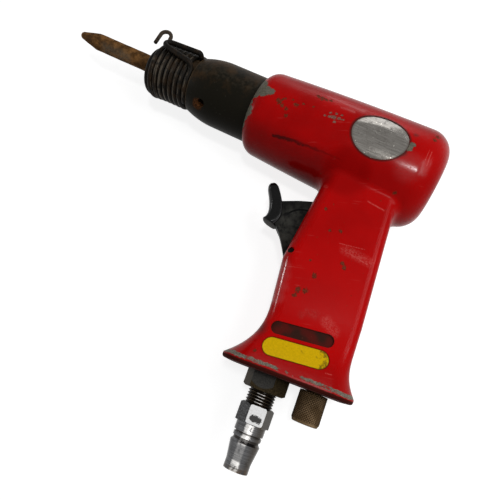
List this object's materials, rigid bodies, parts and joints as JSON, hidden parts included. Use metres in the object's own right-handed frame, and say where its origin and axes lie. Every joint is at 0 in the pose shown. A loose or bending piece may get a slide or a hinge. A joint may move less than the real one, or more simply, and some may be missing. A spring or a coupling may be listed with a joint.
{
  "type": "pneumatic chisel",
  "caption": "Pistol-grip air hammer lying on its side: red housing, black barrel, wound retainer spring with a pointed bit, trigger, air plug and regulator knob.",
  "frame": {"origin": "middle of the footprint on the table, with the tool lying on its right side", "axes": "+X to the rear along the barrel, +Y up when the tool is held, +Z from the table to the tool's left side"},
  "size_m": [0.2287, 0.1912, 0.0524],
  "materials": {
    "red_enamel": "gloss paint, worn",
    "blued_steel": "blackened, worn",
    "rusty_steel": "rusty",
    "spring_steel": "dark, bright on the crests",
    "plug_steel": "plated, worn",
    "machined_steel": "ground",
    "badge_metal": "satin, scratched",
    "yellow_label": "gloss",
    "black_plastic": "satin",
    "seal_rubber": "plain",
    "bronze": "machined"
  },
  "bodies": {
    "housing": {"housing": "red_enamel", "barrel": "blued_steel", "retainer_spring": "spring_steel", "trigger_pin": "blued_steel", "badge": "badge_metal", "base_label": "yellow_label", "inlet_bush": "blued_steel", "quick_plug": "plug_steel", "front_valve_case": "machined_steel", "rear_valve_case": "machined_steel", "valve_dowel": "machined_steel", "throttle_bush": "bronze", "throttle_pin_seal": "seal_rubber", "valve_seat": "bronze", "throttle_spring": "machined_steel", "inlet_gasket": "seal_rubber", "inlet_screen": "bronze", "regulator_clip": "machined_steel"},
    "trigger": {"trigger": "black_plastic"},
    "throttle_pin": {"throttle_pin": "machined_steel"},
    "throttle_valve": {"throttle_valve": "machined_steel", "throttle_valve_seal": "seal_rubber"},
    "piston": {"piston": "machined_steel"},
    "chisel": {"chisel": "rusty_steel"},
    "cycle_valve": {"cycle_valve": "machined_steel"},
    "regulator": {"regulator": "rusty_steel", "regulator_seal": "seal_rubber"}
  },
  "joints": [
    {"name": "trigger_pull", "type": "hinge", "parent": "housing", "child": "trigger", "pos_m": [0.05997, 0.00375, 0.0262], "axis": [0, 0, -1], "range_deg": [0, 10], "stiffness_Nm_per_rad": 2},
    {"name": "throttle_pin_slide", "type": "slide", "parent": "housing", "child": "throttle_pin", "axis": [0.1392, -0.9903, 0], "range_m": [0, 0.00165]},
    {"name": "throttle_valve_lift", "type": "slide", "parent": "housing", "child": "throttle_valve", "axis": [0.1392, -0.9903, 0], "range_m": [0, 0.00165], "deforming": ["throttle_spring"]},
    {"name": "piston_stroke", "type": "slide", "parent": "housing", "child": "piston", "axis": [-1, 0, 0], "range_m": [0, 0.0385]},
    {"name": "chisel_slide", "type": "slide", "parent": "housing", "child": "chisel", "axis": [-1, 0, 0], "range_m": [0, 0.0055]},
    {"name": "cycle_valve_shuttle", "type": "slide", "parent": "housing", "child": "cycle_valve", "axis": [1, 0, 0], "range_m": [0, 0.0016]},
    {"name": "regulator_turn", "type": "hinge", "parent": "housing", "child": "regulator", "pos_m": [0.09629, -0.02901, 0.0262], "axis": [0.1392, -0.9903, 0], "continuous": true}
  ],
  "couplings": [
    {"joint": "throttle_pin_slide", "follows": "trigger_pull", "m_per_rad": 0.0092},
    {"joint": "throttle_valve_lift", "follows": "trigger_pull", "m_per_rad": 0.0092}
  ]
}
